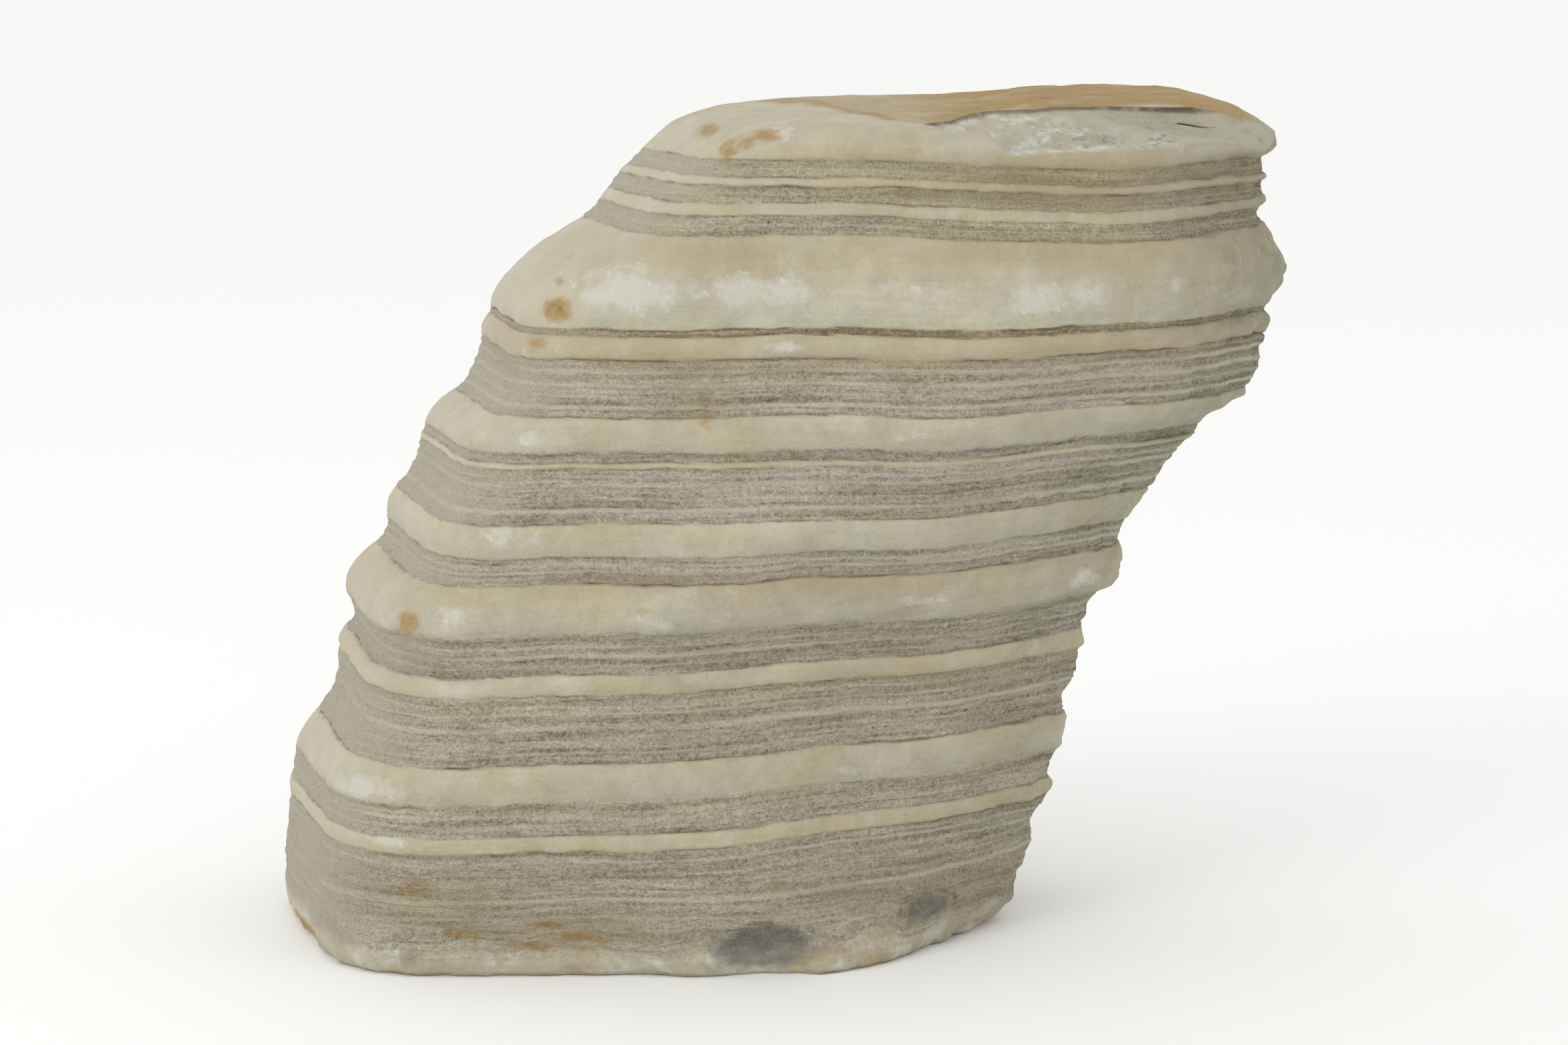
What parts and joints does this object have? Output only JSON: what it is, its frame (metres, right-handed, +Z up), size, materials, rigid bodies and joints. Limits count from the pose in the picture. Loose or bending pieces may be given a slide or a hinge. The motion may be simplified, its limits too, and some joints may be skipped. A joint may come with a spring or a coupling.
{
  "type": "aquarium rock",
  "caption": "Leaning banded aquarium rock with cream marble ledges between worn grey siltstone beds, on a flat foot.",
  "frame": {"origin": "middle of the bounding box's bottom face, in the plane of the flat foot", "axes": "+X across the front towards the overhanging end, +Y from the front to the back, +Z up through the beds"},
  "size_m": [0.254, 0.1386, 0.2098],
  "materials": {
    "layered_stone": "worn matt stone, slightly waxy on the marble beds"
  },
  "bodies": {
    "root": {"layered_stone": "layered_stone"}
  },
  "joints": []
}
